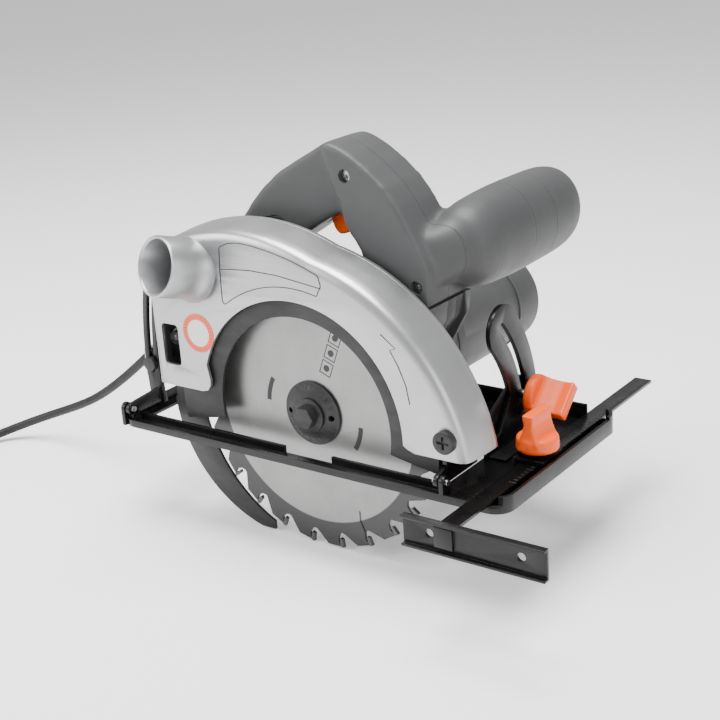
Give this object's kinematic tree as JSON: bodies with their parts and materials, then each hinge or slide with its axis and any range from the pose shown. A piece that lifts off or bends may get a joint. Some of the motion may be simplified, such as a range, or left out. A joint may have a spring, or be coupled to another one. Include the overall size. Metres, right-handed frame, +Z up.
{
  "type": "circular saw",
  "caption": "Hand-held circular saw with a cast upper guard, swinging lower guard, D-shaped main handle, barrel motor, tilting depth-adjustable base and sliding rip fence.",
  "frame": {"origin": "on the sole, under the arbor, in the middle of the narrow rail beside the blade", "axes": "+X is the cutting direction, +Y runs from the blade to the motor, +Z is up"},
  "size_m": [0.6408, 0.2805, 0.2593],
  "materials": {
    "silver_cast": "satin cast, light grey",
    "grey_plastic": "matt, finely textured",
    "dark_plastic": "matt black",
    "orange_plastic": "satin orange",
    "black_steel": "glossy black paint",
    "knife_steel": "dark oxide",
    "blade_steel": "brushed",
    "carbide": "ground",
    "dark_steel": "blackened",
    "bright_steel": "machined",
    "housing_alloy": "cast",
    "copper": "machined",
    "bronze": "sintered",
    "carbon": "matt",
    "cord_rubber": "matt black"
  },
  "bodies": {
    "saw_body": {"upper_guard": "silver_cast", "guard_back_plate": "housing_alloy", "riving_knife": "knife_steel", "riving_knife_screw": "dark_steel", "dust_port": "silver_cast", "gear_housing": "housing_alloy", "gear_case_cover": "housing_alloy", "motor_housing": "grey_plastic", "motor_end_cap": "grey_plastic", "housing_screws": "bright_steel", "handle_near_shell": "grey_plastic", "handle_far_shell": "grey_plastic", "handle_screws": "dark_steel", "handle_insert": "dark_plastic", "front_grip_base": "grey_plastic", "front_grip_cap": "grey_plastic", "switch_body": "dark_plastic", "strain_relief": "cord_rubber", "cord": "cord_rubber", "cord_coil": "cord_rubber", "cord_tie": "cord_rubber", "plug": "cord_rubber", "stator": "bright_steel", "brush_holders": "bronze", "carbon_brushes": "carbon", "front_motor_bearing": "bright_steel", "rear_motor_bearing": "bright_steel", "spindle_bearing": "bright_steel", "spindle_bush": "bronze", "guard_retaining_ring": "bright_steel", "depth_pivot_screw": "dark_steel"},
    "spindle_set": {"spindle": "bright_steel", "spindle_gear": "bright_steel", "inner_flange": "dark_steel", "blade": "blade_steel", "carbide_tips": "carbide", "outer_flange": "dark_steel", "blade_bolt": "dark_steel"},
    "armature_set": {"armature": "bright_steel", "commutator": "copper", "fan": "dark_plastic", "motor_shaft": "bright_steel", "pinion": "bright_steel"},
    "lower_guard": {"lower_guard": "knife_steel", "lower_guard_lever": "dark_plastic", "lower_guard_spring": "bright_steel"},
    "trigger": {"trigger": "orange_plastic"},
    "lock_off_button": {"lock_off_button": "dark_plastic"},
    "spindle_lock": {"spindle_lock": "dark_plastic"},
    "depth_lever": {"depth_lever": "black_steel"},
    "tilt_frame": {"front_bracket": "black_steel", "depth_arc": "black_steel", "bevel_bolt": "bright_steel"},
    "bevel_knob": {"bevel_knob": "orange_plastic"},
    "base": {"base_plate": "black_steel", "bevel_quadrant": "black_steel", "bevel_pins": "bright_steel"},
    "rip_fence": {"rip_fence": "black_steel"},
    "fence_knob": {"fence_knob": "orange_plastic"}
  },
  "joints": [
    {"name": "spindle_spin", "type": "hinge", "parent": "saw_body", "child": "spindle_set", "pos_m": [0, 0.019, 0.0275], "axis": [0, -1, 0], "continuous": true},
    {"name": "armature_spin", "type": "hinge", "parent": "saw_body", "child": "armature_set", "pos_m": [0.016, 0.019, 0.049], "axis": [0, -1, 0], "continuous": true},
    {"name": "lower_guard_swing", "type": "hinge", "parent": "saw_body", "child": "lower_guard", "pos_m": [0, 0.019, 0.0275], "axis": [0, -1, 0], "range_deg": [0, 165]},
    {"name": "trigger_pull", "type": "slide", "parent": "saw_body", "child": "trigger", "axis": [-0.5, 0, 0.866], "range_m": [0, 0.006], "stiffness_N_per_m": 300, "springref_m": -0.002},
    {"name": "lock_off_press", "type": "slide", "parent": "saw_body", "child": "lock_off_button", "axis": [0, -1, 0], "range_m": [0, 0.0025], "stiffness_N_per_m": 200, "springref_m": -0.002},
    {"name": "spindle_lock_press", "type": "slide", "parent": "saw_body", "child": "spindle_lock", "axis": [1, 0, 0], "range_m": [0, 0.003], "stiffness_N_per_m": 300, "springref_m": -0.002},
    {"name": "depth_lever_turn", "type": "hinge", "parent": "saw_body", "child": "depth_lever", "pos_m": [-0.145, 0.019, 0.035], "axis": [0, 1, 0], "range_deg": [0, 60]},
    {"name": "depth_hinge", "type": "hinge", "parent": "saw_body", "child": "tilt_frame", "pos_m": [0.108, 0.019, 0.035], "axis": [0, -1, 0], "range_deg": [0, 16]},
    {"name": "bevel_hinge", "type": "hinge", "parent": "tilt_frame", "child": "base", "pos_m": [0, -0.002, 0.0115], "axis": [-1, 0, 0], "range_deg": [0, 32]},
    {"name": "bevel_knob_turn", "type": "hinge", "parent": "tilt_frame", "child": "bevel_knob", "pos_m": [0.115, 0.09993, 0.02947], "axis": [1, 0, 0], "range_deg": [0, 360]},
    {"name": "fence_slide", "type": "slide", "parent": "base", "child": "rip_fence", "axis": [0, -1, 0], "range_m": [-0.034, 0.12]},
    {"name": "fence_knob_turn", "type": "hinge", "parent": "base", "child": "fence_knob", "pos_m": [0.135, 0.061, 0.0175], "axis": [0, 0, 1], "range_deg": [0, 360]}
  ],
  "couplings": [
    {"joint": "armature_spin", "follows": "spindle_spin", "ratio": -4.2222}
  ]
}
